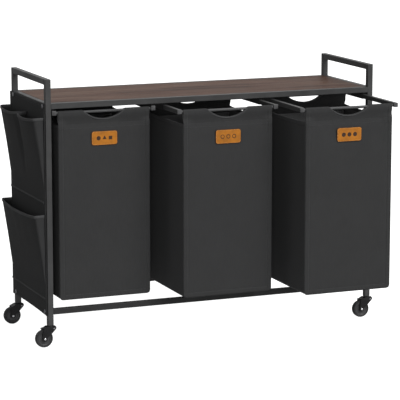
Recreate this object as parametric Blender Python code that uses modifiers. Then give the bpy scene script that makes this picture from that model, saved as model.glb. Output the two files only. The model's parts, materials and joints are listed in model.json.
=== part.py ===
"""A rolling laundry sorter: a square-tube frame with a board on top, three fabric bags that
hang on pull-out frames, a side organiser with two pockets, and four swivel casters.

Metres, +Z up, +X to the right of someone who faces the bags, +Y to the back. Everything is
modelled about the middle of the frame's footprint, with z = 0 on the floor, under one empty
that puts the origin at the bottom centre of the whole sorter as it stands.
"""
import math

import bmesh
import bpy
from mathutils import Matrix, Vector

# ---- Driving dimensions ----
FRAME_WIDTH = 1.000
FRAME_DEPTH = 0.320
POST_LENGTH = 0.692
TUBE = 0.016
TUBE_EDGE = 0.0012
CASTER_HEIGHT = 0.0615
FIT_GAP = 0.0003

SHELF_TOP = CASTER_HEIGHT + 0.6255
LOWER_RAIL_BOTTOM = CASTER_HEIGHT + 0.031
BOARD_THICKNESS = 0.0137
LEDGE_DEPTH = 0.010
LEDGE_THICKNESS = 0.002

BAG_SPACING = 0.330
BAG_WIDTH = 0.268
BAG_DEPTH = 0.308
BAG_BOTTOM = CASTER_HEIGHT + 0.070
BAG_TOP = CASTER_HEIGHT + 0.604
BAG_WALL = 0.003
BAG_CORNER = 0.009
HEM_HEIGHT = 0.014
HEM_DEPTH = 0.012
SIDE_WALL_DROP = 0.041
HAND_HOLE_WIDTH = 0.127
HAND_HOLE_DEPTH = 0.028
# How far each bag is pulled out of the frame as the sorter stands.
PULL_OUT = {"left": 0.0, "middle": 0.1025, "right": 0.195}
# How far each caster has swivelled, in degrees: the back right one trails to the back.
SWIVEL_TURN = {"left_front": 0, "right_front": 0, "left_back": 0, "right_back": -90}

SLIDE_BAR = 0.012
SLIDE_BAR_SPACING = 0.291
ROD_RADIUS = 0.004
ROD_CLEARANCE = 0.0005
GUIDE_WALL = 0.0014
GUIDE_CLEARANCE = 0.0004
GUIDE_LIP = 0.0095
GUIDE_SETBACK = 0.008

TAG_WIDTH = 0.0775
TAG_HEIGHT = 0.041
TAG_THICKNESS = 0.0015
TAG_CORNER = 0.0075
TAG_CENTRE_DROP = 0.082

PANEL_THICKNESS = 0.004
PANEL_FRONT = -0.156
PANEL_BACK = 0.162
PANEL_BOTTOM = CASTER_HEIGHT + 0.028
PANEL_TOP = SHELF_TOP - 0.0015
POCKET_FRONT = -0.150
POCKET_BACK = 0.157
POCKET_WALL = 0.002
POCKET_MOUTH_DEPTH = 0.030
POCKET_FOOT_DEPTH = 0.006
UPPER_POCKET_RIM = CASTER_HEIGHT + 0.585
UPPER_POCKET_HEIGHT = 0.185
LOWER_POCKET_RIM = CASTER_HEIGHT + 0.313
LOWER_POCKET_HEIGHT = 0.200
SNAP_RADIUS = 0.005
SNAP_HEIGHT = 0.0025
SNAP_FRONT_Y = -0.146
SNAP_BACK_Y = 0.128

WHEEL_RADIUS = 0.025
WHEEL_HALF_WIDTH = 0.009
WHEEL_BORE_RADIUS = 0.0033
WHEEL_STEPS = 28
CASTER_TRAIL = 0.019
AXLE_RADIUS = 0.003
AXLE_LENGTH = 0.0285
FORK_WIDTH = 0.026
FORK_SLOT_WIDTH = 0.0195
FORK_SLOT_RADIUS = 0.027
NECK_RADIUS = 0.011
NECK_LENGTH = 0.0042
CROWN_REACH = 0.0135
CROWN_END_RADIUS = 0.0070
ARM_END_RADIUS = 0.0075
# The pedal sits in a slot in the crown; its pivot is measured from the foot of the post.
PEDAL_WIDTH = 0.012
PEDAL_SLOT_WIDTH = 0.0136
PEDAL_SLOT_BOTTOM = -0.0130
PEDAL_SLOT_TOP = -0.0036
PEDAL_BARREL_RADIUS = 0.0022
PEDAL_PIVOT = (-0.010, 0, -0.0065)

# ---- Derived sizes ----
HALF_WIDTH = FRAME_WIDTH / 2
HALF_DEPTH = FRAME_DEPTH / 2
POST_X = HALF_WIDTH - TUBE / 2
POST_Y = HALF_DEPTH - TUBE / 2
POST_TOP = CASTER_HEIGHT + POST_LENGTH
SHELF_RAIL_Z = SHELF_TOP - TUBE / 2
LOWER_RAIL_Z = LOWER_RAIL_BOTTOM + TUBE / 2
HEM_CENTRE_Z = BAG_TOP - HEM_HEIGHT / 2
PANEL_OUTSIDE_X = -HALF_WIDTH - FIT_GAP - PANEL_THICKNESS

POSTS = {
    "left_front": (-1, -1),
    "right_front": (1, -1),
    "left_back": (-1, 1),
    "right_back": (1, 1),
}
BAGS = {"left": -BAG_SPACING, "middle": 0.0, "right": BAG_SPACING}


def clear_scene():
    for obj in list(bpy.data.objects):
        bpy.data.objects.remove(obj)


def make_collection(name):
    collection = bpy.data.collections.new(name)
    bpy.context.scene.collection.children.link(collection)
    return collection


def make_material(name, colour, roughness, metallic=0.0):
    material = bpy.data.materials.new(name)
    material.use_nodes = True
    shader = material.node_tree.nodes["Principled BSDF"]
    shader.inputs["Base Color"].default_value = (*colour, 1.0)
    shader.inputs["Roughness"].default_value = roughness
    shader.inputs["Metallic"].default_value = metallic
    return material


def make_empty(name, location, parent=None):
    empty = bpy.data.objects.new(name, None)
    empty.empty_display_size = 0.03
    empty.location = location
    empty.parent = parent
    parts.objects.link(empty)
    return empty


def place(name, mesh, location, material, parent):
    """Puts a mesh in the parts collection as one piece of the sorter."""
    obj = bpy.data.objects.new(name, mesh)
    obj.location = location
    obj.parent = parent
    mesh.materials.append(material)
    parts.objects.link(obj)
    return obj


def place_cutter(name, mesh, location, parent):
    cutter = bpy.data.objects.new(name, mesh)
    cutter.location = location
    cutter.parent = parent
    cutter.hide_render = True
    cutter.display_type = "WIRE"
    cutters.objects.link(cutter)
    return cutter


def combine(obj, other, operation="DIFFERENCE"):
    modifier = obj.modifiers.new(f"{operation.lower()} {other.name}", "BOOLEAN")
    modifier.operation = operation
    modifier.object = other
    modifier.solver = "EXACT"


def round_edges(obj, width, segments=2):
    modifier = obj.modifiers.new("rounded edges", "BEVEL")
    modifier.width = width
    modifier.segments = segments
    modifier.limit_method = "ANGLE"


def box_mesh(name, size):
    shape = bmesh.new()
    bmesh.ops.create_cube(shape, size=1.0, matrix=Matrix.Diagonal((*size, 1.0)))
    mesh = bpy.data.meshes.new(name)
    shape.to_mesh(mesh)
    shape.free()
    return mesh


def cylinder_mesh(name, radius, length, along, sides=24):
    """A closed cylinder about the origin, lying along X, Y or Z."""
    turn = {
        "X": Matrix.Rotation(math.pi / 2, 4, "Y"),
        "Y": Matrix.Rotation(math.pi / 2, 4, "X"),
        "Z": Matrix.Identity(4),
    }[along]
    shape = bmesh.new()
    bmesh.ops.create_cone(
        shape, cap_ends=True, segments=sides, radius1=radius, radius2=radius, depth=length, matrix=turn
    )
    mesh = bpy.data.meshes.new(name)
    shape.to_mesh(mesh)
    shape.free()
    mesh.shade_smooth()
    mesh.set_sharp_from_angle(angle=math.radians(40))
    return mesh


def outline_mesh(name, points, thickness):
    """A flat outline in X and Z, filled and given its thickness along Y."""
    curve = bpy.data.curves.new(name, "CURVE")
    curve.dimensions = "2D"
    curve.fill_mode = "BOTH"
    curve.extrude = thickness / 2
    spline = curve.splines.new("POLY")
    spline.points.add(len(points) - 1)
    for point, (x, z) in zip(spline.points, points):
        point.co = (x, z, 0.0, 1.0)
    spline.use_cyclic_u = True
    guide = bpy.data.objects.new(name, curve)
    cutters.objects.link(guide)
    bpy.context.view_layer.update()
    evaluated = guide.evaluated_get(bpy.context.evaluated_depsgraph_get())
    mesh = bpy.data.meshes.new_from_object(evaluated)
    bpy.data.objects.remove(guide)
    shape = bmesh.new()
    shape.from_mesh(mesh)
    bmesh.ops.remove_doubles(shape, verts=shape.verts, dist=1e-5)
    bmesh.ops.transform(shape, matrix=Matrix.Rotation(math.pi / 2, 4, "X"), verts=shape.verts)
    bmesh.ops.recalc_face_normals(shape, faces=shape.faces)
    shape.to_mesh(mesh)
    shape.free()
    return mesh


def arc(centre, radius, start, end, steps):
    """Points along an arc in X and Z, with its angles in degrees from +X."""
    points = []
    for step in range(steps + 1):
        angle = math.radians(start + (end - start) * step / steps)
        points.append((centre[0] + radius * math.cos(angle), centre[1] + radius * math.sin(angle)))
    return points


def box(name, low, high, material, parent, edge=0.0):
    low, high = Vector(low), Vector(high)
    obj = place(name, box_mesh(name, high - low), (low + high) / 2, material, parent)
    if edge:
        round_edges(obj, edge)
    return obj


def box_cutter(name, low, high, parent):
    low, high = Vector(low), Vector(high)
    return place_cutter(name, box_mesh(name, high - low), (low + high) / 2, parent)


# ---- Frame ----
def add_tube(name, centre, length, along):
    """A square tube of the frame. Its ends are closed, as the welded corners close them."""
    size = {"X": (length, TUBE, TUBE), "Y": (TUBE, length, TUBE), "Z": (TUBE, TUBE, length)}[along]
    obj = place(name, box_mesh(name, size), centre, steel, sorter)
    round_edges(obj, TUBE_EDGE)
    return obj


def add_posts():
    for place_name, (side, depth) in POSTS.items():
        centre = (side * POST_X, depth * POST_Y, CASTER_HEIGHT + POST_LENGTH / 2)
        add_tube(f"{place_name}_post", centre, POST_LENGTH, "Z")


def add_side_bars():
    """The handle, the rail beside the board and the low rail on each end of the frame."""
    length = FRAME_DEPTH - 2 * TUBE - 2 * FIT_GAP
    heights = {
        "handle_bar": POST_TOP - TUBE / 2,
        "shelf_side_rail": SHELF_RAIL_Z,
        "lower_side_rail": LOWER_RAIL_Z,
    }
    for side_name, side in (("left", -1), ("right", 1)):
        for bar_name, height in heights.items():
            add_tube(f"{side_name}_{bar_name}", (side * POST_X, 0, height), length, "Y")


def ledged_rail_mesh(name, length, inward):
    """A rail along X with a ledge on its inner side, low down, that carries the board."""
    half = TUBE / 2
    flat = half - TUBE_EDGE
    reach = half + LEDGE_DEPTH
    profile = [(-flat, -half), (reach, -half), (reach, -half + LEDGE_THICKNESS)]
    profile += [(half, -half + LEDGE_THICKNESS), (half, flat), (flat, half)]
    profile += [(-flat, half), (-half, flat), (-half, -flat)]
    mesh = outline_mesh(name, profile, length)
    mesh.transform(Matrix.Rotation(inward * math.pi / 2, 4, "Z"))
    return mesh


def add_long_rails():
    length = FRAME_WIDTH - 2 * TUBE - 2 * FIT_GAP
    for name, depth in (("front", -1), ("back", 1)):
        top_mesh = ledged_rail_mesh(f"{name}_top_rail", length, -depth)
        place(f"{name}_top_rail", top_mesh, (0, depth * POST_Y, SHELF_RAIL_Z), steel, sorter)
        add_tube(f"{name}_lower_rail", (0, depth * POST_Y, LOWER_RAIL_Z), length, "X")


def add_shelf_board():
    half_x = HALF_WIDTH - TUBE - 2 * FIT_GAP
    half_y = HALF_DEPTH - TUBE - 2 * FIT_GAP
    low = (-half_x, -half_y, SHELF_TOP - BOARD_THICKNESS)
    box("shelf_board", low, (half_x, half_y, SHELF_TOP), walnut, sorter, edge=0.0008)


def add_guides():
    """A slide channel over each slide bar, fixed under the front and back top rails."""
    half_bar = SLIDE_BAR / 2
    inner = half_bar + GUIDE_CLEARANCE
    outer = inner + GUIDE_WALL
    top = SHELF_TOP - TUBE - FIT_GAP - (BAG_TOP - half_bar)
    lip = GUIDE_LIP - half_bar
    profile = [(-outer, -outer), (lip, -outer), (lip, -inner), (-inner, -inner)]
    profile += [(-inner, inner), (lip, inner), (lip, top), (-outer, top)]
    length = FRAME_DEPTH - 2 * GUIDE_SETBACK
    for bag_name, bag_x in BAGS.items():
        for side_name, side in (("left", -1), ("right", 1)):
            name = f"{bag_name}_bag_{side_name}_guide"
            points = [(-side * x, z) for x, z in profile]
            bar_x = bag_x + side * SLIDE_BAR_SPACING / 2
            mesh = outline_mesh(name, points, length)
            place(name, mesh, (bar_x, 0, BAG_TOP - half_bar), guide_plastic, sorter)


# ---- Bags on their pull-out frames ----
def tub_outline(half_width, bottom, top, corner):
    """The bag's front, with its bottom corners rounded."""
    points = [(half_width, top)]
    points += arc((half_width - corner, bottom + corner), corner, 0, -90, 5)
    points += arc((-half_width + corner, bottom + corner), corner, -90, -180, 5)
    points += [(-half_width, top)]
    return points


def cut_hems(bag, name, unit):
    """The sleeves along the front and back hold the rods; the side walls end below them."""
    half_width = BAG_WIDTH / 2
    rooms = {
        "room_between_hems": (HEM_DEPTH, BAG_TOP - SIDE_WALL_DROP, BAG_TOP + 0.01),
        "room_above_side_walls": (BAG_WALL, BAG_TOP - SIDE_WALL_DROP, BAG_TOP - HEM_HEIGHT),
    }
    for room_name, (inset, bottom, top) in rooms.items():
        low = (-half_width - 0.01, inset, bottom)
        high = (half_width + 0.01, BAG_DEPTH - inset, top)
        combine(bag, box_cutter(f"{name}_{room_name}", low, high, unit))
    for end_name, rod_y in (("front", HEM_DEPTH / 2), ("back", BAG_DEPTH - HEM_DEPTH / 2)):
        bore_mesh = cylinder_mesh(name, ROD_RADIUS + ROD_CLEARANCE, BAG_WIDTH + 0.02, "X", sides=16)
        bore = place_cutter(f"{name}_{end_name}_hem_bore", bore_mesh, (0, rod_y, HEM_CENTRE_Z), unit)
        combine(bag, bore)


def cut_hand_holes(bag, name, unit):
    """One half-moon through the front and the back, with the rods left across it."""
    radius = ((HAND_HOLE_WIDTH / 2) ** 2 + HAND_HOLE_DEPTH**2) / (2 * HAND_HOLE_DEPTH)
    mesh = cylinder_mesh(name, radius, BAG_DEPTH + 0.02, "Y", sides=72)
    centre = (0, BAG_DEPTH / 2, BAG_TOP - HAND_HOLE_DEPTH + radius)
    combine(bag, place_cutter(f"{name}_hand_holes", mesh, centre, unit))


def add_bag(name, unit):
    """The fabric bag as an open tub; y = 0 is the outside of its front."""
    half_width = BAG_WIDTH / 2
    middle = (0, BAG_DEPTH / 2, 0)
    outside = outline_mesh(name, tub_outline(half_width, BAG_BOTTOM, BAG_TOP, BAG_CORNER), BAG_DEPTH)
    bag = place(name, outside, middle, bag_fabric, unit)
    inner_half = half_width - BAG_WALL
    inner_corner = BAG_CORNER - BAG_WALL
    inner_top = BAG_TOP - HEM_HEIGHT
    inside = tub_outline(inner_half, BAG_BOTTOM + BAG_WALL, inner_top, inner_corner)
    inside_mesh = outline_mesh(name, inside, BAG_DEPTH - 2 * BAG_WALL)
    combine(bag, place_cutter(f"{name}_inside", inside_mesh, middle, unit))
    cut_hems(bag, name, unit)
    cut_hand_holes(bag, name, unit)


def add_slide_frame(name, unit):
    """Two square bars front to back, joined by the two rods that carry the bag."""
    half_bar = SLIDE_BAR / 2
    for side_name, side in (("left", -1), ("right", 1)):
        bar_x = side * SLIDE_BAR_SPACING / 2
        low = (bar_x - half_bar, 0, BAG_TOP - SLIDE_BAR)
        high = (bar_x + half_bar, BAG_DEPTH, BAG_TOP)
        box(f"{name}_{side_name}_slide_bar", low, high, steel, unit, edge=0.0008)
    rod_length = SLIDE_BAR_SPACING - SLIDE_BAR - 2 * FIT_GAP
    for end_name, rod_y in (("front", HEM_DEPTH / 2), ("back", BAG_DEPTH - HEM_DEPTH / 2)):
        rod_name = f"{name}_{end_name}_rod"
        mesh = cylinder_mesh(rod_name, ROD_RADIUS, rod_length, "X", sides=16)
        place(rod_name, mesh, (0, rod_y, HEM_CENTRE_Z), steel, unit)


def add_tag(name, unit):
    """The leather label on the bag's front, a rounded rectangle."""
    half_x, half_z, corner = TAG_WIDTH / 2, TAG_HEIGHT / 2, TAG_CORNER
    points = []
    for x, z, start in ((1, 1, 0), (-1, 1, 90), (-1, -1, 180), (1, -1, 270)):
        centre = (x * (half_x - corner), z * (half_z - corner))
        points += arc(centre, corner, start, start + 90, 4)
    mesh = outline_mesh(name, points, TAG_THICKNESS)
    y = -FIT_GAP - TAG_THICKNESS / 2
    place(name, mesh, (0, y, BAG_TOP - TAG_CENTRE_DROP), tag_leather, unit)


def add_bag_units():
    for bag_name, bag_x in BAGS.items():
        name = f"{bag_name}_bag"
        front = -HALF_DEPTH - PULL_OUT[bag_name]
        unit = make_empty(f"{name}_slide", (bag_x, front, 0), sorter)
        add_bag(name, unit)
        add_slide_frame(name, unit)
        add_tag(f"{name}_tag", unit)


# ---- Side organiser ----
def wedge_mesh(name, rim, height, mouth, foot, low_y, high_y):
    """A block along Y whose outer face leans out from foot to mouth. X = 0 is the panel side."""
    profile = [(0, rim - height), (0, rim), (-mouth, rim), (-foot, rim - height)]
    mesh = outline_mesh(name, profile, high_y - low_y)
    mesh.transform(Matrix.Translation((0, (low_y + high_y) / 2, 0)))
    return mesh


def add_pocket(name, rim, height):
    """An open-topped pouch: a leaning front, two gussets and a bottom, closed by the panel."""
    face_x = PANEL_OUTSIDE_X - FIT_GAP
    outside = wedge_mesh(
        name, rim, height, POCKET_MOUTH_DEPTH, POCKET_FOOT_DEPTH, POCKET_FRONT, POCKET_BACK
    )
    pocket = place(name, outside, (face_x, 0, 0), side_fabric, sorter)
    inside = outline_mesh(
        name,
        [
            (0.01, rim - height + POCKET_WALL),
            (0.01, rim + 0.01),
            (-POCKET_MOUTH_DEPTH + POCKET_WALL, rim + 0.01),
            (-POCKET_MOUTH_DEPTH + POCKET_WALL, rim),
            (-POCKET_FOOT_DEPTH + POCKET_WALL, rim - height + POCKET_WALL),
        ],
        POCKET_BACK - POCKET_FRONT - 2 * POCKET_WALL,
    )
    middle = (face_x, (POCKET_FRONT + POCKET_BACK) / 2, 0)
    combine(pocket, place_cutter(f"{name}_inside", inside, middle, sorter))


def add_side_organiser():
    low = (PANEL_OUTSIDE_X, PANEL_FRONT, PANEL_BOTTOM)
    high = (PANEL_OUTSIDE_X + PANEL_THICKNESS, PANEL_BACK, PANEL_TOP)
    box("side_panel", low, high, side_fabric, sorter)
    add_pocket("upper_pocket", UPPER_POCKET_RIM, UPPER_POCKET_HEIGHT)
    add_pocket("lower_pocket", LOWER_POCKET_RIM, LOWER_POCKET_HEIGHT)
    x = PANEL_OUTSIDE_X - FIT_GAP - SNAP_HEIGHT / 2
    for level_name, z in (("top", SHELF_RAIL_Z), ("bottom", LOWER_RAIL_Z)):
        for end_name, y in (("front", SNAP_FRONT_Y), ("back", SNAP_BACK_Y)):
            name = f"{level_name}_{end_name}_snap"
            mesh = cylinder_mesh(name, SNAP_RADIUS, SNAP_HEIGHT, "X", sides=16)
            snap = place(name, mesh, (x, y, z), snap_metal, sorter)
            round_edges(snap, 0.0008, segments=1)


# ---- Casters ----
def fork_outline():
    """The side of the housing: a crown over the wheel and an arm that runs down to the axle."""
    axle_z = WHEEL_RADIUS - CASTER_HEIGHT
    end_centre = (CROWN_REACH - CROWN_END_RADIUS, -0.0025 - CROWN_END_RADIUS)
    points = arc(end_centre, CROWN_END_RADIUS, 90, -45, 7)
    points += [(CROWN_REACH - 0.0130, -0.0224)]
    points += arc((-CASTER_TRAIL, axle_z), ARM_END_RADIUS, 30, -180, 8)
    points += [(-0.0265, -0.0260), (-0.0225, -0.0115), (-0.0225, -0.0060), (-0.0185, -0.0025)]
    return points


def add_fork(name, unit, has_pedal):
    axle_at = (-CASTER_TRAIL, 0, WHEEL_RADIUS - CASTER_HEIGHT)
    fork = place(name, outline_mesh(name, fork_outline(), FORK_WIDTH), (0, 0, 0), caster_plastic, unit)
    neck_mesh = cylinder_mesh(name, NECK_RADIUS, NECK_LENGTH, "Z")
    neck_at = (0, 0, -FIT_GAP - NECK_LENGTH / 2)
    combine(fork, place_cutter(f"{name}_neck", neck_mesh, neck_at, unit), "UNION")
    slot_mesh = cylinder_mesh(name, FORK_SLOT_RADIUS, FORK_SLOT_WIDTH, "Y", sides=40)
    combine(fork, place_cutter(f"{name}_wheel_slot", slot_mesh, axle_at, unit))
    hole_mesh = cylinder_mesh(name, AXLE_RADIUS + FIT_GAP, FORK_WIDTH + 0.01, "Y", sides=16)
    combine(fork, place_cutter(f"{name}_axle_hole", hole_mesh, axle_at, unit))
    if has_pedal:
        half = PEDAL_SLOT_WIDTH / 2
        low = (-0.032, -half, PEDAL_SLOT_BOTTOM)
        high = (-0.007, half, PEDAL_SLOT_TOP)
        combine(fork, box_cutter(f"{name}_pedal_slot", low, high, unit))


def wheel_profile():
    """Bore, hub, web and tyre, run from the top of the bore round the outside."""
    half = WHEEL_HALF_WIDTH
    upper = [(WHEEL_BORE_RADIUS, half), (0.0080, half), (0.0095, 0.0062), (0.0180, 0.0062)]
    upper += [(0.0195, half - 0.0003), (0.0232, half - 0.0003), (WHEEL_RADIUS, half - 0.0022)]
    lower = [(radius, -along) for radius, along in reversed(upper)]
    return upper + lower


def turned_mesh(name, profile):
    """The closed profile itself; a Screw modifier turns it about the object's own Z."""
    shape = bmesh.new()
    ring = [shape.verts.new((radius, 0, along)) for radius, along in profile]
    for first, second in zip(ring, ring[1:] + ring[:1]):
        shape.edges.new((first, second))
    mesh = bpy.data.meshes.new(name)
    shape.to_mesh(mesh)
    shape.free()
    return mesh


def add_wheel(name, unit):
    wheel = place(name, turned_mesh(name, wheel_profile()), (0, 0, 0), wheel_rubber, unit)
    wheel.rotation_euler = (math.pi / 2, 0, 0)
    screw = wheel.modifiers.new("turned", "SCREW")
    screw.steps = screw.render_steps = WHEEL_STEPS
    screw.use_merge_vertices = True
    screw.merge_threshold = 0.00001
    screw.use_smooth_shade = True


def add_pedal(name, unit):
    """The brake lever: a short blade whose far end is pressed down on the wheel."""
    points = arc((0, 0), PEDAL_BARREL_RADIUS, 90, -60, 5)
    points += [(-0.0130, -0.0024), (-0.0168, -0.0030), (-0.0180, -0.0015)]
    points += [(-0.0172, 0.0012), (-0.0120, 0.0018)]
    place(name, outline_mesh(name, points, PEDAL_WIDTH), (0, 0, 0), caster_plastic, unit)


def add_casters():
    for place_name, (side, depth) in POSTS.items():
        name = f"{place_name}_caster"
        stem_at = (side * POST_X, depth * POST_Y, CASTER_HEIGHT)
        swivel = make_empty(f"{name}_swivel", stem_at, sorter)
        swivel.rotation_euler = (0, 0, math.radians(SWIVEL_TURN[place_name]))
        has_pedal = depth < 0
        add_fork(f"{name}_fork", swivel, has_pedal)
        axle_at = (-CASTER_TRAIL, 0, WHEEL_RADIUS - CASTER_HEIGHT)
        spin = make_empty(f"{name}_spin", axle_at, swivel)
        add_wheel(f"{name}_wheel", spin)
        axle_mesh = cylinder_mesh(f"{name}_axle", AXLE_RADIUS, AXLE_LENGTH, "Y", sides=16)
        place(f"{name}_axle", axle_mesh, axle_at, axle_steel, swivel)
        if has_pedal:
            pivot = make_empty(f"{name}_pedal_pivot", PEDAL_PIVOT, swivel)
            add_pedal(f"{name}_brake_pedal", pivot)


clear_scene()
parts = make_collection("laundry_sorter")
cutters = make_collection("cutters")

steel = make_material("powder_coated_steel", (0.045, 0.045, 0.047), 0.55)
walnut = make_material("walnut_board", (0.150, 0.100, 0.083), 0.55)
bag_fabric = make_material("bag_fabric", (0.040, 0.040, 0.042), 0.92)
side_fabric = make_material("side_fabric", (0.022, 0.022, 0.023), 0.92)
tag_leather = make_material("tag_leather", (0.56, 0.23, 0.045), 0.60)
guide_plastic = make_material("guide_plastic", (0.020, 0.020, 0.021), 0.45)
caster_plastic = make_material("caster_plastic", (0.022, 0.022, 0.023), 0.40)
wheel_rubber = make_material("wheel_rubber", (0.045, 0.045, 0.046), 0.60)
axle_steel = make_material("axle_steel", (0.75, 0.75, 0.76), 0.30, metallic=1.0)
snap_metal = make_material("snap_metal", (0.20, 0.20, 0.21), 0.35, metallic=1.0)

# The sides of the whole sorter as it stands: a caster or the pocket at the left, the axle of
# the turned back right caster at the right, the right bag's tag in front and the same
# caster's wheel at the back.
leftmost = min(-POST_X - CASTER_TRAIL - WHEEL_RADIUS, PANEL_OUTSIDE_X - FIT_GAP - POCKET_MOUTH_DEPTH)
rightmost = max(HALF_WIDTH, POST_X + CROWN_REACH, POST_X + AXLE_LENGTH / 2)
frontmost = -HALF_DEPTH - max(PULL_OUT.values()) - FIT_GAP - TAG_THICKNESS
backmost = max(PANEL_BACK, POST_Y + CASTER_TRAIL + WHEEL_RADIUS)
origin_shift = (-(leftmost + rightmost) / 2, -(frontmost + backmost) / 2, 0)
sorter = make_empty("laundry_sorter_origin", origin_shift)

add_posts()
add_side_bars()
add_long_rails()
add_shelf_board()
add_guides()
add_bag_units()
add_side_organiser()
add_casters()
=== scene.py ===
"""Looks for the rolling laundry sorter: sewn bags, side organiser, tags, casters and finishes.

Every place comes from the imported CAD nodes. Metres, +Z up, +Y to the back of the sorter.
"""

import json
from math import copysign, cos, exp, pi, radians, sin, sqrt

import bmesh
import bpy
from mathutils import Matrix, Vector, noise


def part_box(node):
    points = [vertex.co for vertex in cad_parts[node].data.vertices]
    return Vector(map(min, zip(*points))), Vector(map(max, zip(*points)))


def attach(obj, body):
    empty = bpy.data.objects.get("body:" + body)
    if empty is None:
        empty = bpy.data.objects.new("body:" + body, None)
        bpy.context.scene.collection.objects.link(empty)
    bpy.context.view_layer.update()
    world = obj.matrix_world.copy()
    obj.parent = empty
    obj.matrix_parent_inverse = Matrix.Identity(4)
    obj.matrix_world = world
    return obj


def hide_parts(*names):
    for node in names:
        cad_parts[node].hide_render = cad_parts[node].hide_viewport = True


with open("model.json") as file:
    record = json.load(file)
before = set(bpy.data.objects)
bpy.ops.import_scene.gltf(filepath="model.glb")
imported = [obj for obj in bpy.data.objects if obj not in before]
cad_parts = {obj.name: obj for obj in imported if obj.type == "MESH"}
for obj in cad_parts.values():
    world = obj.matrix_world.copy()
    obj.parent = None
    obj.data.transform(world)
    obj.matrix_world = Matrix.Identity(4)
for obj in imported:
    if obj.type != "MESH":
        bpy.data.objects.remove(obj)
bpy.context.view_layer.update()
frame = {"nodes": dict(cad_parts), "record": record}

scene = bpy.context.scene
RIGHT = Vector((1, 0, 0))
BACK = Vector((0, 1, 0))
UP = Vector((0, 0, 1))

CORNERS = ("left_front", "right_front", "left_back", "right_back")
BAGS = ("left", "middle", "right")

# ---- Camera ----
CAMERA_FROM_FRAME = (-2.257, -5.642, 1.397)
CAMERA_TURN = 21.99
CAMERA_DIP = 10.26
CAMERA_LENS = 190.0

# ---- Fabric ----
CLOTH = 0.0013
SLEEVE_RADIUS = 0.0052
ROD_DROP = 0.007
HEM_DROP = 0.053
SLEEVE_DROP = 0.041
HEM_WAIST = 0.0055
HOLE_HALF_WIDTH = 0.0635
HOLE_DEPTH = 0.028
HOLE_RADIUS = (HOLE_HALF_WIDTH**2 + HOLE_DEPTH**2) / (2 * HOLE_DEPTH)
BAG_CORNER = 0.009
SEAM_INSET = 0.013
SIDE_HEM = 0.041
FULLNESS = 0.0022
SIDE_FALL = 0.0045
RIM_SAG = 0.0035
STITCH_PITCH = 0.0042
STITCH_LENGTH = 0.003
STITCH_RADIUS = 0.00036


# ---- Mesh helpers ----
def add_object(name, mesh, material, slot, body):
    """A finished mesh as a piece that rides on a CAD body."""
    obj = bpy.data.objects.new(name, mesh)
    scene.collection.objects.link(obj)
    mesh.materials.append(material)
    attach(obj, body)
    return obj


def mesh_from(name, points, faces):
    mesh = bpy.data.meshes.new(name)
    mesh.from_pydata([tuple(p) for p in points], [], faces)
    mesh.validate()
    mesh.shade_smooth()
    return mesh


def loft(name, rows, around=False):
    """A quad surface through rows of points; around joins each row's end to its start."""
    count = len(rows[0])
    points = [p for row in rows for p in row]
    faces = []
    for r in range(len(rows) - 1):
        for c in range(count if around else count - 1):
            n = (c + 1) % count
            low, high = r * count, (r + 1) * count
            faces.append((low + c, low + n, high + n, high + c))
    return mesh_from(name, points, faces)


def finish_shape(shape, mesh, sharp_angle=None):
    """Turn the faces outward, write the shape to its mesh and shade it smooth."""
    bmesh.ops.recalc_face_normals(shape, faces=shape.faces)
    shape.to_mesh(mesh)
    shape.free()
    mesh.shade_smooth()
    if sharp_angle:
        mesh.set_sharp_from_angle(angle=radians(sharp_angle))
    return mesh


def closed_loft(name, rings):
    """A surface through closed rings, capped at both ends."""
    mesh = loft(name, rings, around=True)
    shape = bmesh.new()
    shape.from_mesh(mesh)
    shape.verts.ensure_lookup_table()
    count = len(rings[0])
    for first in (0, (len(rings) - 1) * count):
        shape.faces.new([shape.verts[first + i] for i in range(count)])
    return finish_shape(shape, mesh, 50)


def band(shape, first, second):
    """Faces between two rings of as many points."""
    for i in range(len(first)):
        n = (i + 1) % len(first)
        shape.faces.new((first[i], first[n], second[n], second[i]))


def add_swept(name, path, widths, thicks, section, *finish):
    """A closed band along a path, as a piece; widths and thicks give its directions at each point."""
    rows = []
    for at, wide, thick in zip(path, widths, thicks):
        rows.append([at + wide * u + thick * v for u, v in section])
    add_object(name, closed_loft(name, rows), *finish)


def spaced(start, end, count):
    return [start + (end - start) * i / count for i in range(count + 1)]


def arc_points(centre, radius, start, end, count):
    """Points on an arc, with its start and end in degrees."""
    points = []
    for degrees in spaced(start, end, count):
        a = radians(degrees)
        points.append((centre[0] + radius * cos(a), centre[1] + radius * sin(a)))
    return points


def rounded_section(width, thick, corner, steps=3):
    """A rounded rectangle, as pairs across the band's width and through its thickness."""
    points = []
    for sx, sy, start in ((1, 1, 0), (-1, 1, 90), (-1, -1, 180), (1, -1, 270)):
        centre = (sx * (width / 2 - corner), sy * (thick / 2 - corner))
        points += arc_points(centre, corner, start, start + 90, steps)
    return points


def square_to(path, axis):
    """At each point of a path, the direction square to both the path and the axis."""
    sides = []
    for i in range(len(path)):
        along = path[min(i + 1, len(path) - 1)] - path[max(i - 1, 0)]
        sides.append(along.cross(axis).normalized())
    return sides


def add_turned(name, profile, centre, axis, steps, *finish):
    """A piece turned about an axis; the profile runs (radius, along), and finish is add_object's."""
    turn = UP.rotation_difference(axis).to_matrix()
    rows = []
    for radius, along in profile:
        ring = []
        for step in range(steps):
            a = 2 * pi * step / steps
            spot = Vector((radius * cos(a), radius * sin(a), along))
            ring.append(turn @ spot + Vector(centre))
        rows.append(ring)
    mesh = loft(name, rows, around=True)
    shape = bmesh.new()
    shape.from_mesh(mesh)
    bmesh.ops.remove_doubles(shape, verts=shape.verts, dist=1e-6)
    bmesh.ops.holes_fill(shape, edges=shape.edges, sides=0)
    return add_object(name, finish_shape(shape, mesh, 35), *finish)


def mirrored_profile(side, half):
    """A profile with both of its halves, from one half given as (radius, share of the half width)."""
    low = [(radius, -share * half) for radius, share in side]
    return low + [(radius, -along) for radius, along in reversed(low)]


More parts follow.
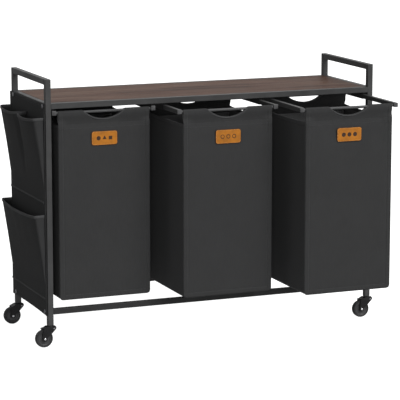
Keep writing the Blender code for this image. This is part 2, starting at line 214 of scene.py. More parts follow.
def thicken(obj, thickness, even=True):
    """Give a cloth its thickness; tightly folded cloth does without the even offset."""
    modifier = obj.modifiers.new("cloth thickness", "SOLIDIFY")
    modifier.thickness = thickness
    modifier.offset = 0.0
    modifier.use_even_offset = even


def add_painted_light_inside(obj, inside_is_new):
    """Give one face of a thickened bag cloth the lighter inside cloth, painted light for light
    reaching into the bag: the face the thickness adds, or the first one.
    """
    materials = obj.data.materials
    materials.append(bag_inside_painted_light)
    if not inside_is_new:
        materials[0], materials[1] = materials[1], materials[0]
    modifier = obj.modifiers["cloth thickness"]
    modifier.material_offset = 1
    modifier.material_offset_rim = 0 if inside_is_new else 1


def ripple(point, size, seed):
    """Smooth, repeatable unevenness of about -1 to 1 with waves of that size."""
    return noise.noise(Vector(point) / size + Vector((seed, seed * 0.7, -seed)))


def smooth_step(x, low, high):
    t = min(1.0, max(0.0, (x - low) / (high - low)))
    return t * t * (3 - 2 * t)


def centre_and_half(node):
    """The middle of a CAD node's box and half its size."""
    low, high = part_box(node)
    return (low + high) / 2, (high - low) / 2


# ---- Shader node helpers ----
def set_inputs(tree, node, inputs):
    """Set a node's inputs, given by name as values or as sockets to link."""
    for key, value in inputs.items():
        if isinstance(value, bpy.types.NodeSocket):
            tree.links.new(value, node.inputs[key])
        else:
            node.inputs[key].default_value = value


def new_material(name, colour, roughness, metallic=0.0, specular=0.5):
    material = bpy.data.materials.new(name)
    material.use_nodes = True
    tree = material.node_tree
    shader = tree.nodes["Principled BSDF"]
    set_inputs(tree, shader, {"Base Color": (*colour, 1), "Roughness": roughness})
    set_inputs(tree, shader, {"Metallic": metallic, "Specular IOR Level": specular})
    return material, tree, shader


def add_node(tree, kind, inputs=(), **settings):
    """A node with its settings and inputs."""
    made = tree.nodes.new(kind)
    for key, value in settings.items():
        setattr(made, key, value)
    set_inputs(tree, made, dict(inputs))
    return made


def maths(tree, operation, first, second=0.0):
    return add_node(tree, "ShaderNodeMath", {0: first, 1: second}, operation=operation).outputs[0]


def blend(tree, parts):
    """The sum of some fields, each given with its weight."""
    total = None
    for field, weight in parts:
        weighted = maths(tree, "MULTIPLY", field, weight)
        total = weighted if total is None else maths(tree, "ADD", total, weighted)
    return total


def place_in_metres(tree, stretch=(1, 1, 1)):
    """Each point's own place on the object, stretched along the axes."""
    coordinates = add_node(tree, "ShaderNodeTexCoord").outputs["Object"]
    inputs = {"Vector": coordinates, "Scale": stretch}
    return add_node(tree, "ShaderNodeMapping", inputs).outputs["Vector"]


def clouds(tree, scale, detail=2.0, where=None, rough=0.5):
    where = where or place_in_metres(tree)
    inputs = {"Vector": where, "Scale": scale, "Detail": detail, "Roughness": rough}
    return add_node(tree, "ShaderNodeTexNoise", inputs).outputs["Fac"]


def ramp(tree, share, stops):
    made = add_node(tree, "ShaderNodeValToRGB", {"Fac": share})
    elements = made.color_ramp.elements
    while len(elements) < len(stops):
        elements.new(0.5)
    for element, (position, colour) in zip(elements, stops):
        element.position = position
        element.color = (*colour, 1)
    return made.outputs["Color"]


def tinted(tree, shader, share, colour, dark, light):
    """The base colour from its darker tint to its lighter one; each is (position, tint)."""
    stops = []
    for position, tint in (dark, light):
        stops.append((position, tuple(channel * tint for channel in colour)))
    tree.links.new(ramp(tree, share, stops), shader.inputs["Base Color"])


def uneven_gloss(tree, shader, share, low, high):
    """Roughness that goes from low to high as share goes from 0.3 to 0.7."""
    inputs = {"Value": share, "From Min": 0.3, "From Max": 0.7, "To Min": low, "To Max": high}
    made = add_node(tree, "ShaderNodeMapRange", inputs)
    tree.links.new(made.outputs["Result"], shader.inputs["Roughness"])


def bump(tree, shader, height, distance, strength):
    inputs = {"Height": height, "Distance": distance, "Strength": strength}
    made = add_node(tree, "ShaderNodeBump", inputs)
    tree.links.new(made.outputs["Normal"], shader.inputs["Normal"])


# ---- Materials ----
def woven_fabric(name, colour, pitch=0.0011, specular=0.25):
    """A plain weave of matt polyester yarn, with the uneven yarns and soft mottling of real cloth."""
    material, tree, shader = new_material(name, colour, 0.9, specular=specular)
    axes = add_node(tree, "ShaderNodeSeparateXYZ", {0: place_in_metres(tree)})
    turns = 2 * pi / pitch
    level = maths(tree, "ADD", axes.outputs["X"], axes.outputs["Y"])
    across = maths(tree, "SINE", maths(tree, "MULTIPLY", level, turns))
    up = maths(tree, "SINE", maths(tree, "MULTIPLY", axes.outputs["Z"], turns))
    weave = maths(tree, "MULTIPLY", across, up)
    yarn = clouds(tree, 420.0, where=place_in_metres(tree, (1, 1, 0.12)))
    mottle = clouds(tree, 16.0, 3.0)
    share = blend(tree, ((weave, 0.1), (yarn, 0.75), (mottle, 0.25)))
    tinted(tree, shader, share, colour, (0.3, 0.86), (0.72, 1.14))
    uneven_gloss(tree, shader, yarn, 0.82, 0.97)
    set_inputs(tree, shader, {"Sheen Weight": 0.012, "Sheen Roughness": 0.5})
    height = maths(tree, "ADD", maths(tree, "MULTIPLY", weave, 0.5), yarn)
    bump(tree, shader, height, 0.00022, 0.4)
    return material


def powder_coat(name, colour, specular):
    """Baked powder paint: a fine orange peel, with gloss that differs a little from place to place."""
    material, tree, shader = new_material(name, colour, 0.5, specular=specular)
    peel = clouds(tree, 1300.0)
    handled = clouds(tree, 22.0, 4.0)
    tinted(tree, shader, handled, colour, (0.3, 0.86), (0.7, 1.14))
    uneven_gloss(tree, shader, handled, 0.43, 0.57)
    bump(tree, shader, peel, 0.00006, 0.6)
    return material


def walnut(name):
    """Walnut-look board: long streaks along X, fine pores and a soft satin finish."""
    dark, red, brown = (0.02, 0.01, 0.0065), (0.059, 0.027, 0.017), (0.046, 0.029, 0.0205)
    light = (0.08, 0.052, 0.037)
    material, tree, shader = new_material(name, brown, 0.6, specular=0.05)
    bend = clouds(tree, 1.0, 2.0, place_in_metres(tree, (1.6, 6, 6)))
    push = add_node(tree, "ShaderNodeCombineXYZ", {"Y": maths(tree, "MULTIPLY", bend, 2.6)})
    inputs = {0: place_in_metres(tree, (1.0, 46, 46)), 1: push.outputs[0]}
    shifted = add_node(tree, "ShaderNodeVectorMath", inputs, operation="ADD")
    streaks = clouds(tree, 1.0, 5.0, shifted.outputs[0], 0.62)
    pores = clouds(tree, 1.0, 2.0, place_in_metres(tree, (26, 900, 900)), 0.6)
    bands = clouds(tree, 1.0, 2.0, place_in_metres(tree, (2.4, 15, 15)), 0.5)
    share = blend(tree, ((streaks, 0.7), (bands, 0.6), (pores, 0.16)))
    stops = ((0.6, dark), (0.69, red), (0.74, brown), (0.79, red), (0.86, light))
    tree.links.new(ramp(tree, share, stops), shader.inputs["Base Color"])
    uneven_gloss(tree, shader, pores, 0.66, 0.5)
    bump(tree, shader, pores, 0.0001, 0.5)
    return material


def leather(name, colour):
    """Tan vegetable leather with fine pebbles and a slightly blotchy dye."""
    material, tree, shader = new_material(name, colour, 0.6, specular=0.2)
    inputs = {"Vector": place_in_metres(tree), "Scale": 1500.0}
    pebbles = add_node(tree, "ShaderNodeTexVoronoi", inputs)
    dye = clouds(tree, 55.0, 4.0)
    tinted(tree, shader, dye, colour, (0.32, 0.8), (0.68, 1.15))
    uneven_gloss(tree, shader, dye, 0.52, 0.68)
    bump(tree, shader, pebbles.outputs["Distance"], 0.00018, 0.6)
    return material


def moulded(name, colour, roughness, specular):
    """Moulded plastic or rubber with a spark-eroded surface and a little dust."""
    material, tree, shader = new_material(name, colour, roughness, specular=specular)
    grain = clouds(tree, 1700.0)
    dust = clouds(tree, 90.0, 4.0)
    tinted(tree, shader, dust, colour, (0.35, 0.85), (0.75, 1.25))
    uneven_gloss(tree, shader, dust, roughness - 0.06, roughness + 0.08)
    bump(tree, shader, grain, 0.00005, 0.5)
    return material


def bright_metal(name, colour, roughness):
    """Plated steel with fine drawn marks."""
    material, tree, shader = new_material(name, colour, roughness, metallic=1.0)
    marks = clouds(tree, 1.0, 3.0, place_in_metres(tree, (900, 900, 5000)))
    uneven_gloss(tree, shader, marks, roughness - 0.06, roughness + 0.1)
    tinted(tree, shader, marks, colour, (0.3, 0.85), (0.7, 1.0))
    bump(tree, shader, marks, 0.00003, 0.4)
    return material


steel = powder_coat("powder_coated_steel", (0.0305, 0.0307, 0.0309), 0.12)
# Low rails: a darker copy of the frame steel, painted shade for the shadow the bags cast on them.
painted_shade_steel = powder_coat("low_rail_painted_shade", (0.0175, 0.0176, 0.0178), 0.08)
rod_steel = powder_coat("rod_coat", (0.03, 0.0303, 0.031), 0.25)
bag_cloth = woven_fabric("bag_cloth", (0.0204, 0.0206, 0.0209), specular=0.1)
# Side strips: a lighter copy of the bag cloth, painted light that lifts the shade in the gaps between
# the bags.
side_strip_painted_light_cloth = woven_fabric("side_strip_painted_light_cloth", (0.031, 0.0312, 0.0317), specular=0.1)
# Inside faces: a lighter copy of the bag cloth, painted light that stands in for light reaching into
# the bags.
bag_inside_painted_light = woven_fabric("bag_inside_painted_light", (0.066, 0.0664, 0.0672), specular=0.1)
side_cloth = woven_fabric("side_cloth", (0.0198, 0.02, 0.0203), specular=0.06)
tape = woven_fabric("binding_tape", (0.034, 0.0343, 0.035), pitch=0.0008, specular=0.1)
thread = woven_fabric("thread", (0.045, 0.0455, 0.047), pitch=0.0005)
board = walnut("walnut_board")
tan = leather("tan_leather", (0.236, 0.082, 0.004))
burnt = leather("burnt_leather", (0.024, 0.0105, 0.005))
tan_thread = woven_fabric("tan_thread", (0.62, 0.33, 0.12), pitch=0.0005)
dark_plastic = moulded("dark_plastic", (0.0065, 0.0065, 0.0069), 0.45, 0.14)
plug_plastic = moulded("plug_plastic", (0.036, 0.036, 0.037), 0.5, 0.25)
hub_plastic = moulded("hub_plastic", (0.026, 0.026, 0.027), 0.5, 0.25)
rubber = moulded("tyre_rubber", (0.017, 0.017, 0.0175), 0.66, 0.2)
bright = bright_metal("plated_steel", (0.45, 0.45, 0.46), 0.28)
gunmetal = bright_metal("gunmetal", (0.16, 0.16, 0.17), 0.34)

MATERIALS_BY_SLOT = {
    "frame_steel": steel,
    "walnut_board": board,
    "bag_fabric": bag_cloth,
    "side_fabric": side_cloth,
    "tag_leather": tan,
    "guide_plastic": dark_plastic,
    "caster_plastic": dark_plastic,
    "wheel_rubber": rubber,
    "axle_steel": bright,
    "snap_metal": gunmetal,
}


def finish_cad_nodes():
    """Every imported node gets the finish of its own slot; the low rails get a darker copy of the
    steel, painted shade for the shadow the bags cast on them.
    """
    for part in frame["record"]["subparts"]:
        mesh = frame["nodes"][part["node"]].data
        # The low rails take the darker steel: painted shade.
        is_low_rail = "lower" in part["node"] and part["material_slot"] == "frame_steel"
        mesh.materials.clear()
        mesh.materials.append(painted_shade_steel if is_low_rail else MATERIALS_BY_SLOT[part["material_slot"]])


# ---- Stitches ----
def stitch_line(shape, path, outward):
    """Adds a row of thread stitches along a path, lying on the cloth."""
    lengths = [0.0]
    for a, b in zip(path, path[1:]):
        lengths.append(lengths[-1] + (b - a).length)
    count = int(lengths[-1] / STITCH_PITCH)
    index = 0
    for number in range(count):
        middle = (number + 0.5) * lengths[-1] / count
        while lengths[index + 1] < middle:
            index += 1
        a, b = path[index], path[index + 1]
        along = (b - a).normalized()
        at = a + along * (middle - lengths[index])
        side = along.cross(outward).normalized()
        up = side.cross(along).normalized()
        ends = [at - along * STITCH_LENGTH / 2, at + along * STITCH_LENGTH / 2]
        ring = [side, up * 1.2, -side, -up]
        verts = [shape.verts.new(at + r * STITCH_RADIUS) for r in ring]
        tips = [shape.verts.new(e - up * STITCH_RADIUS * 0.4) for e in ends]
        for i in range(4):
            n = (i + 1) % 4
            shape.faces.new((tips[0], verts[n], verts[i]))
            shape.faces.new((tips[1], verts[i], verts[n]))


def stitching(name, lines, material, slot, body):
    """Rows of stitches as one piece; each row is a path and the way out of the cloth."""
    shape = bmesh.new()
    for path, outward in lines:
        stitch_line(shape, path, outward)
    mesh = finish_shape(shape, bpy.data.meshes.new(name))
    add_object(name, mesh, material, slot, body)


# ---- Bags ----
def hole_height(x, top):
    """Height of the half-moon's edge at x, or the bag's top outside it."""
    if abs(x) >= HOLE_HALF_WIDTH:
        return top
    return top - HOLE_DEPTH + HOLE_RADIUS - sqrt(HOLE_RADIUS**2 - x**2)


def panel_bottom(x, half, bottom):
    """Height of the panel's lower edge at x, with its rounded corner."""
    over = abs(x) - (half - BAG_CORNER)
    if over <= 0:
        return bottom
    return bottom + BAG_CORNER - sqrt(max(0.0, BAG_CORNER**2 - over**2))


def hem_gap(z, top):
    """Distance between the hem's two layers: the rod's sleeve closing to the stitch line."""
    rod_z = top - ROD_DROP
    seam_z = top - SLEEVE_DROP
    share = min(1.0, max(0.0, (z - seam_z) / (rod_z - seam_z)))
    return CLOTH + (2 * SLEEVE_RADIUS - CLOTH) * share**1.35


def panel_relief(x, z, half, bottom, top, seed):
    """How far the front stands out at a point: the folded seam band, fullness and unevenness."""
    edge = min(half - abs(x), z - bottom)
    seam_band = 0.0007 * (1 - smooth_step(edge, SEAM_INSET - 0.0015, SEAM_INSET + 0.0015))
    groove = 0.0005 * exp(-(((edge - SEAM_INSET) / 0.0012) ** 2))
    hem = 0.0005 * smooth_step(z, top - HEM_DROP - 0.002, top - HEM_DROP + 0.001)
    groove += 0.0004 * exp(-(((z - top + SLEEVE_DROP) / 0.0016) ** 2))
    height = (z - bottom) / (top - bottom)
    fullness = FULLNESS * sin(pi * min(1, max(0, height))) ** 0.8
    fullness *= cos(pi * x / (2 * half)) ** 0.5 if abs(x) < half else 0.0
    loose = 1 - smooth_step(z, top - 0.09, top - 0.03)
    uneven = 0.0011 * ripple((x, 0, z), 0.11, seed) + 0.0005 * ripple((x, 0, z), 0.035, seed)
    near_edge = smooth_step(edge, 0.0, 0.03)
    drop = top - z
    waist = HEM_WAIST * smooth_step(drop, 0.009, SLEEVE_DROP - 0.002)
    waist *= 1 - 0.6 * smooth_step(drop, SLEEVE_DROP, 0.062) - 0.4 * smooth_step(drop, 0.062, 0.14)
    held = (1 - smooth_step(half - abs(x), 0.002, 0.035)) * smooth_step(drop, 0.024, SLEEVE_DROP)
    waist *= 1 - held
    return seam_band - groove + hem + fullness + uneven * loose * near_edge - waist


def panel_columns(half):
    """Positions across the bag, closer together at the seams and at the hole's corners."""
    side = spaced(-half, -half + BAG_CORNER, 7)[:-1]
    side.append(-half + BAG_CORNER + 0.0005)
    side += [-half + SEAM_INSET + d for d in (-0.0018, -0.0008, 0, 0.0008, 0.0018)]
    side += spaced(-half + SEAM_INSET + 0.006, -HOLE_HALF_WIDTH, 9)
    hole = spaced(-HOLE_HALF_WIDTH, HOLE_HALF_WIDTH, 36)[1:-1]
    return side + hole + [-x for x in reversed(side)]


def panel_heights(tall):
    """Heights up the bag, closer together at the bottom seam and at the hem's stitches."""
    low = [0.0, 0.0035, 0.007, 0.0095] + [SEAM_INSET + d for d in (-0.002, -0.001, 0, 0.001, 0.002)]
    hem, sleeve = tall - HEM_DROP, tall - SLEEVE_DROP
    high = [hem + d for d in (-0.0015, -0.0005, 0.0005, 0.0015)] + [hem + 0.006]
    high += [sleeve + d for d in (-0.0028, -0.0014, 0, 0.0014, 0.0028)]
    face = spaced(SEAM_INSET + 0.008, hem - 0.008, 38)
    return low + face + high + spaced(sleeve + 0.007, tall - ROD_DROP, 8)


def front_y(x, z, half, bottom, top, seed):
    """Depth of the front layer's middle at a point, easing to the plain front over the rod."""
    plain = smooth_step(z, top - 0.015, top - ROD_DROP)
    return CLOTH / 2 - panel_relief(x, z, half, bottom, top, seed) * (1 - plain)


def panel_profile(x, half, bottom, top, seed):
    """One column of the front panel: up the outside, over the rod or the hole's edge, down inside."""
    rod_z = top - ROD_DROP
    rod_y = SLEEVE_RADIUS + CLOTH / 2
    limit = min(hole_height(x, top), top)
    crest = min(limit, rod_z)
    base = panel_bottom(x, half, bottom)
    points = []
    for height in panel_heights(top - bottom):
        z = base + (crest - base) * height / (rod_z - bottom)
        points.append(Vector((x, front_y(x, z, half, bottom, top, seed), z)))
    start_y = points[-1].y
    for step in range(1, 12):
        a = pi * (1 - step / 12)
        if limit >= rod_z:
            y = rod_y + SLEEVE_RADIUS * cos(a)
            z = min(rod_z + SLEEVE_RADIUS * sin(a), limit)
        else:
            y = start_y + hem_gap(limit, top) * step / 12
            z = limit + 0.0009 * sin(a)
        points.append(Vector((x, y, z)))
    for step in range(13):
        z = crest + (top - HEM_DROP - 0.006 - crest) * step / 12
        points.append(Vector((x, front_y(x, z, half, bottom, top, seed) + hem_gap(z, top), z)))
    return points


def bag_frame(name):
    """The CAD bag's centre line, front, back, half width, bottom and top."""
    low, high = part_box(f"{name}_bag")
    return (low.x + high.x) / 2, low.y, high.y, (high.x - low.x) / 2, low.z, high.z


def add_bag_cloth(name, part, rows, material, inside_is_new):
    """One cloth of a bag, its inside faces in the lighter cloth of painted light; the three together
    stand for the CAD bag.
    """
    piece = f"{name}_bag_{part}"
    obj = add_object(piece, loft(piece, rows), material, "bag_fabric", f"{name}_bag_unit")
    thicken(obj, CLOTH)
    add_painted_light_inside(obj, inside_is_new)
    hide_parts(f"{name}_bag")
    return obj


def bag_panel(name, end, seed):
    """The front or back panel with its rod sleeve and half-moon hand hole."""
    middle, front, back, half, bottom, top = bag_frame(name)
    columns = []
    for x in panel_columns(half):
        column = []
        for p in panel_profile(x, half, bottom, top, seed):
            y = front + p.y if end == "front" else back - p.y
            column.append(Vector((middle + x, y, p.z)))
        columns.append(column)
    obj = add_bag_cloth(name, f"{end}_panel", columns, bag_cloth, inside_is_new=end == "back")


def strip_path(half, bottom, top):
    """The side, bottom and side of the bag in X and Z, as one strip of cloth."""
    edge = half - CLOTH / 2
    inner = BAG_CORNER - CLOTH / 2
    floor = bottom + CLOTH / 2
    side = [(-edge, z) for z in spaced(top, floor + inner, 34)[:-1]]
    side += arc_points((-edge + inner, floor + inner), inner, 180, 270, 6)
    level = [(x, floor) for x in spaced(-edge + inner, edge - inner, 18)[1:-1]]
    return side + level + [(-x, z) for x, z in reversed(side)]


def bag_strip(name, seed):
    """Both side walls and the bottom: limp cloth that falls in a little between its seams."""
    middle, front, back, half, bottom, top = bag_frame(name)
    rim = top - SIDE_HEM
    deep = back - front
    rows = []
    for along in spaced(0.0, 1.0, 30):
        belly = sin(pi * along) ** 0.7 if 0 < along < 1 else 0.0
        row = []
        for x, z in strip_path(half, bottom, rim):
            height = (z - bottom) / (rim - bottom)
            side = copysign(1.0, x) * smooth_step(abs(x), half - 0.012, half - 0.002)
            y = front + 0.0008 + (deep - 0.0016) * along
            fall = SIDE_FALL * sin(pi * min(1, height * 0.92)) * belly
            uneven = 0.0016 * ripple((side * 0.5, y, z), 0.1, seed) * belly
            uneven *= smooth_step(height, 0, 0.1)
            sag = RIM_SAG * belly * smooth_step(height, 0.9, 1.0) + 0.0012 * belly * (1 - abs(side))
            row.append(Vector((middle + x - side * (fall + uneven), y, z - sag)))
        rows.append(row)
    # The side strip wears the lighter copy of the bag cloth: painted light in the gaps between bags.
    obj = add_bag_cloth(name, "side_strip", rows, side_strip_painted_light_cloth, inside_is_new=False)
    return rows


def add_tape(name, part, path, widths, thicks, section):
    """A band of binding tape on a bag."""
    finish = (tape, "bag_fabric", f"{name}_bag_unit")
    add_swept(f"{name}_bag_{part}", path, widths, thicks, section, *finish)


def hole_binding(name, end, seed):
    """The tape sewn round the half-moon's edge."""
    middle, front, back, half, bottom, top = bag_frame(name)
    path, widths, thicks = [], [], []
    reach = HOLE_HALF_WIDTH - 0.004
    for x in spaced(-reach, reach, 40):
        z = hole_height(x, top)
        gap = hem_gap(z, top)
        inward = Vector((-x, 0, top - HOLE_DEPTH + HOLE_RADIUS - z)).normalized()
        y = front_y(x, z, half, bottom, top, seed) + gap / 2
        y = front + y if end == "front" else back - y
        path.append(Vector((middle + x, y, z)) - inward * 0.0014)
        widths.append(inward)
        thicks.append(Vector((0, (gap + CLOTH + 0.0012) / 0.004, 0)))
    add_tape(name, f"{end}_hole_binding", path, widths, thicks, rounded_section(0.0042, 0.004, 0.0013))


def rim_binding(name, side_name, column, rows):
    """The folded top edge of a side wall, which is one column of the strip's rows."""
    path = [row[column] - UP * 0.0035 for row in rows]
    section = rounded_section(0.009, 0.003, 0.0012)
    add_tape(name, f"{side_name}_rim", path, [UP] * len(path), [RIGHT] * len(path), section)


def outline_path(half, bottom, top, inset):
    """The panel's outline from its top left, round the bottom, to its top right."""
    corner = max(0.002, BAG_CORNER - inset)
    edge, floor = half - inset, bottom + inset
    side = [(-edge, z) for z in spaced(top, floor + corner, 30)[:-1]]
    side += arc_points((-edge + corner, floor + corner), corner, 180, 270, 6)
    return side + [(-x, z) for x, z in reversed(side)]


def seam_piping(name, end):
    """The ridge where a panel is sewn to the side strip."""
    middle, front, back, half, bottom, top = bag_frame(name)
    points = outline_path(half - 0.0006, bottom + 0.0006, top - SIDE_HEM - 0.001, 0.0)
    y = front + 0.0016 if end == "front" else back - 0.0016
    path = [Vector((middle + x, y, z)) for x, z in points]
    section = rounded_section(0.0028, 0.0028, 0.00135)
    add_tape(name, f"{end}_piping", path, square_to(path, BACK), [BACK] * len(path), section)


def bag_stitches(name, seeds):
    """Stitch rows beside the outline, along the hem and round the hand holes."""
    middle, front, back, half, bottom, top = bag_frame(name)
    lines = []
    for end, seed in seeds.items():
        outward = -BACK if end == "front" else BACK

        def on_panel(x, z):
            out = panel_relief(x, z, half, bottom, top, seed) + 0.0001
            y = front - out if end == "front" else back + out
            return Vector((middle + x, y, z))

        outline = [on_panel(x, z) for x, z in outline_path(half, bottom, top - 0.01, SEAM_INSET)]
        lines.append((outline, outward))
        for drop in (SLEEVE_DROP, HEM_DROP - 0.0015):
            row = [on_panel(x, top - drop) for x in spaced(-half + 0.004, half - 0.004, 60)]
            lines.append((row, outward))
        reach = HOLE_HALF_WIDTH - 0.008
        below_hole = [on_panel(x, hole_height(x, top) - 0.0062) for x in spaced(-reach, reach, 40)]
        lines.append((below_hole, outward))
    stitching(f"{name}_bag_stitching", lines, thread, "bag_fabric", f"{name}_bag_unit")


def make_bags():
    for number, name in enumerate(BAGS):
        seeds = {"front": 3.1 + number * 5.7, "back": 4.9 + number * 5.7}
        for end, seed in seeds.items():
            bag_panel(name, end, seed)
            hole_binding(name, end, seed)
            seam_piping(name, end)
        rows = bag_strip(name, 1.7 + number * 3.3)
        for side_name, column in (("left", 0), ("right", -1)):
            rim_binding(name, side_name, column, rows)
        bag_stitches(name, seeds)


# ---- Bag hardware ----
def make_rods():
    for name in BAGS:
        for end in ("front", "back"):
            node = f"{name}_bag_{end}_rod"
            centre, size = centre_and_half(node)
            half, radius = size.x, size.z
            profile = [(0, -half), (radius - 0.0006, -half), (radius, -half + 0.0006)]
            profile += [(radius, half - 0.0006), (radius - 0.0006, half), (0, half)]
            finish = (rod_steel, "frame_steel", f"{name}_bag_unit")
            obj = add_turned(f"{node}_bar", profile, centre, RIGHT, 32, *finish)
            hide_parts(node)


def make_end_plugs():
    """The moulded plug in the front end of each slide bar."""
    for name in BAGS:
        for side in ("left", "right"):
            centre, half = centre_and_half(f"{name}_bag_{side}_slide_bar")
            end = centre.y - half.y
            path = [Vector((centre.x, end + d, centre.z)) for d in (0.0004, -0.0012, -0.0018)]
            widths = [RIGHT * scale for scale in (1.0, 1.0, 0.8)]
            thicks = [UP * scale for scale in (1.0, 1.0, 0.8)]
            section = rounded_section(0.0126, 0.0126, 0.0016)
            finish = (plug_plastic, "guide_plastic", f"{name}_bag_unit")
            add_swept(f"{name}_bag_{side}_slide_plug", path, widths, thicks, section, *finish)


# ---- Tags ----
TAG_CORNER = 0.0075
TAG_STITCH_INSET = 0.0028
PICTURE_SPACING = 0.0175
PICTURE_SIZE = 0.0061
PICTURE_HEIGHT = 0.00025
RING_WIDTH = 0.002


def tag_outline(half, inset, corner):
    """The tag's outline, that far in from its edge."""
    return rounded_section(2 * (half.x - inset), 2 * (half.z - inset), corner, 6)


def tag_plate(name):
    """The leather label: domed a little, with a burnished edge."""
    node = f"{name}_bag_tag"
    centre, half = centre_and_half(node)
    back_y, face_y = centre.y + half.y, centre.y - half.y
    rings = []
    edge = ((0.0, back_y), (0.0, face_y + 0.0005), (0.0002, face_y + 0.00015), (0.0006, face_y))
    dome = ((0.0016, face_y - 0.00005), (0.006, face_y - 0.0002), (0.012, face_y - 0.00025))
    for inset, y in edge + dome:
        ring = tag_outline(half, inset, max(0.001, TAG_CORNER - inset))
        rings.append([Vector((centre.x + x, y, centre.z + z)) for x, z in ring])
    piece = f"{node}_leather"
    mesh = closed_loft(piece, rings)
    obj = add_object(piece, mesh, tan, "tag_leather", f"{name}_bag_unit")
    mesh.materials.append(burnt)
    for face in mesh.polygons:
        inside = face.index >= len(edge) * len(rings[0])
        face.material_index = 0 if inside and face.normal.y < -0.5 else 1
    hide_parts(node)
    return centre, half, face_y


def flat_shape(shape, outline, y, hole):
    """A thin plate of that outline on the tag's face; a hole has as many points, or none."""

    def ring(points, depth):
        return [shape.verts.new((x, y - depth, z)) for x, z in points]

    front, back = ring(outline, PICTURE_HEIGHT), ring(outline, 0)
    band(shape, front, back)
    if not hole:
        shape.faces.new(front)
        shape.faces.new(back[::-1])
        return
    inner_front, inner_back = ring(hole, PICTURE_HEIGHT), ring(hole, 0)
    band(shape, inner_front, inner_back)
    band(shape, front, inner_front)
    band(shape, back, inner_back)


def polygon(centre, radius, sides, turn=0):
    return arc_points(centre, radius, turn, turn + 360, sides)[:-1]


def tag_picture(name, centre, face_y):
    """Plain pictures for the three sorts of washing: mixed shapes, rings and filled discs."""
    shape = bmesh.new()
    size = PICTURE_SIZE
    mixed = ((size, 32, 0), (1.15 * size, 3, 90), (1.15 * size, 4, 45))
    for number in range(3):
        spot = (centre.x + (number - 1) * PICTURE_SPACING, centre.z)
        radius, sides, turn = mixed[number] if name == "left" else mixed[0]
        hole = polygon(spot, size - RING_WIDTH, sides) if name == "middle" else ()
        flat_shape(shape, polygon(spot, radius, sides, turn), face_y, hole)
    bmesh.ops.recalc_face_normals(shape, faces=shape.faces)
    piece = f"{name}_bag_tag_picture"
    mesh = bpy.data.meshes.new(piece)
    shape.to_mesh(mesh)
    shape.free()
    add_object(piece, mesh, burnt, "tag_leather", f"{name}_bag_unit")


def make_tags():
    for name in BAGS:
        centre, half, face_y = tag_plate(name)
        tag_picture(name, centre, face_y - 0.0001)
        ring = tag_outline(half, TAG_STITCH_INSET, 0.0036)
        path = [Vector((centre.x + x, face_y - 0.00012, centre.z + z)) for x, z in ring]
        lines = [(path + [path[0]], -BACK)]
        stitching(f"{name}_bag_tag_stitching", lines, tan_thread, "tag_leather", f"{name}_bag_unit")


# ---- Side organiser ----
PANEL_CLOTH = 0.0016
POCKET_WALL = 0.0014
POCKET_BOW = 0.0085
POCKET_SAG = 0.0055
POCKET_TUCK = 0.0025
POCKET_FOLD = 0.193
POCKET_LENGTH = 0.238
POCKET_EDGE = 0.0004
FLAT_DEPTH = 0.0016
DIVISION_WIDTH = 0.038
FACE_STEPS = spaced(0, 0.38, 9)[1:] + spaced(0.38, 0.62, 26)[1:] + spaced(0.62, 1, 9)[1:-1]


def side_panel():
    """The cloth panel, snapped to the rails at its corners and a little slack between them."""
    low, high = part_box("side_panel")
    middle = (low.x + high.x) / 2
    rows = []
    for up in spaced(0, 1, 48):
        row = []
        for along in spaced(0, 1, 26):
            y = low.y + (high.y - low.y) * along
            z = low.z + (high.z - low.z) * up
            slack = sin(pi * along) * 0.6 + sin(pi * up) * 0.4
            x = middle - 0.0009 * ripple((0, y, z), 0.13, 8.4) * slack
            ends = smooth_step(up, 0.8, 1) - smooth_step(up, 0.2, 0)
            dip = 0.0025 * sin(pi * along) * ends
            row.append(Vector((x, y, z - dip)))
        rows.append(row)
    mesh = loft("side_panel_cloth", rows)
    obj = add_object("side_panel_cloth", mesh, side_cloth, "side_fabric", "frame")
    thicken(obj, PANEL_CLOTH)
    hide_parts("side_panel")
    edges = (
        (rows[0], UP),
        (rows[-1], -UP),
        ([row[0] for row in rows], BACK),
        ([row[-1] for row in rows], -BACK),
    )
    lines = []
    for edge, inward in edges:
        path = [p + inward * 0.0042 for p in edge]
        widths, thicks = [inward] * len(path), [RIGHT] * len(path)
        piece = f"side_panel_binding_{len(lines) + 1}"
        section = rounded_section(0.0088, 0.003, 0.0012)
        add_swept(piece, path, widths, thicks, section, side_cloth, "side_fabric", "frame")
        stitched = [p + inward * 0.0066 - RIGHT * 0.0016 for p in edge[2:-2]]
        lines.append((stitched, -RIGHT))
    stitching("side_panel_stitching", lines, thread, "side_fabric", "frame")


